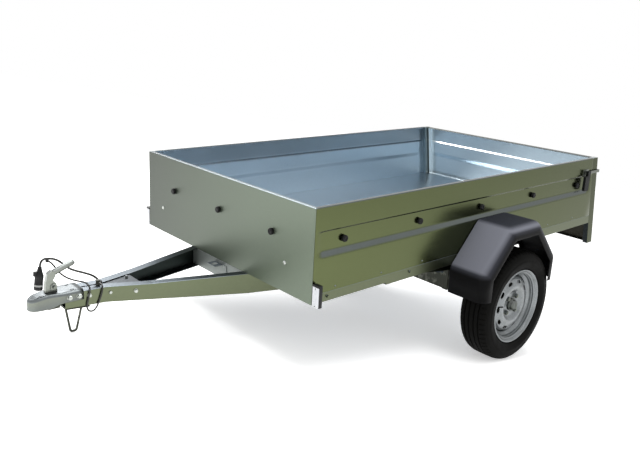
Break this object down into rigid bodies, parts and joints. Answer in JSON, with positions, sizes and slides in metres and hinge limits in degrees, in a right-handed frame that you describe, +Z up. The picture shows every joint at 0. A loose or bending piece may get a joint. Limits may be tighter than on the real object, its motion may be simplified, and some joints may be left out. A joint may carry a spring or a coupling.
{
  "type": "utility trailer",
  "caption": "Single-axle open utility trailer with profiled steel sides, hinged tailgate, V drawbar and ball coupling, parked on its rod stand.",
  "frame": {"origin": "on the floor, at the centre of the footprint of the parked trailer without its cords", "axes": "+X towards the trailer's left side, +Y from the coupling to the tailgate, +Z up; the trailer stands nose-down by 10.45 degrees on its rod stand and its wheels"},
  "size_m": [1.651, 3.052, 1.0465],
  "materials": {
    "galvanised_outer": "galvanised sheet, glossy",
    "galvanised_floor": "galvanised sheet, satin",
    "galvanised_frame": "galvanised steel, satin",
    "bright_zinc": "bright zinc plated",
    "dark_steel": "dark satin",
    "black_plastic": "black satin plastic",
    "black_rubber": "black rubber",
    "wire_cover": "dark plastic-covered wire",
    "tyre": "black tyre rubber",
    "rim_silver": "silver-grey paint",
    "hub_zinc": "zinc plated",
    "white_lens": "white reflecting plastic",
    "red_lens": "red lamp plastic",
    "plate_white": "blank, white"
  },
  "bodies": {
    "chassis": {"axle_arms": "dark_steel", "axle_beam": "dark_steel", "axle_brackets": "galvanised_frame", "ball_clamp": "dark_steel", "breakaway_wire": "wire_cover", "cable": "black_rubber", "cable_gland": "black_rubber", "corner_posts": "galvanised_floor", "coupling_head": "bright_zinc", "coupling_lever": "bright_zinc", "cross_members": "galvanised_frame", "drawbar_arm_left": "galvanised_frame", "drawbar_arm_right": "galvanised_frame", "drawbar_member": "galvanised_frame", "fixed_hinges": "galvanised_frame", "floor_sheet": "galvanised_floor", "front_markers": "black_plastic", "front_panel": "galvanised_outer", "gate_latches": "galvanised_frame", "lamp_panel": "galvanised_outer", "latch_grips": "black_plastic", "marker_lenses": "white_lens", "mudguard_left": "black_plastic", "mudguard_right": "black_plastic", "neck_grommet": "black_rubber", "neck_plate": "galvanised_frame", "number_plate": "plate_white", "plug": "black_plastic", "plug_holder": "galvanised_frame", "prop_stand": "dark_steel", "rear_lamps": "red_lens", "rear_member": "galvanised_frame", "rear_posts": "galvanised_outer", "side_panel_left": "galvanised_outer", "side_panel_right": "galvanised_outer", "side_rail_left": "galvanised_frame", "side_rail_right": "galvanised_frame", "tarp_hooks": "black_rubber", "wire_anchor": "bright_zinc", "wire_clip": "black_plastic"},
    "tailgate": {"tailgate_panel": "galvanised_outer", "gate_hinges": "galvanised_frame", "tarp_hooks_tailgate": "black_rubber"},
    "wheel_left": {"tyre_left": "tyre", "rim_left": "rim_silver", "hub_left": "hub_zinc"},
    "wheel_right": {"tyre_right": "tyre", "rim_right": "rim_silver", "hub_right": "hub_zinc"}
  },
  "joints": [
    {"name": "wheel_left_spin", "type": "hinge", "parent": "chassis", "child": "wheel_left", "pos_m": [0.738, 0.47658, 0.273], "axis": [1, 0, 0], "continuous": true},
    {"name": "wheel_right_spin", "type": "hinge", "parent": "chassis", "child": "wheel_right", "pos_m": [-0.738, 0.47658, 0.273], "axis": [1, 0, 0], "continuous": true},
    {"name": "tailgate_hinge", "type": "hinge", "parent": "chassis", "child": "tailgate", "pos_m": [0, 1.4455, 0.72895], "axis": [-1, 0, 0], "range_deg": [0, 135]}
  ]
}
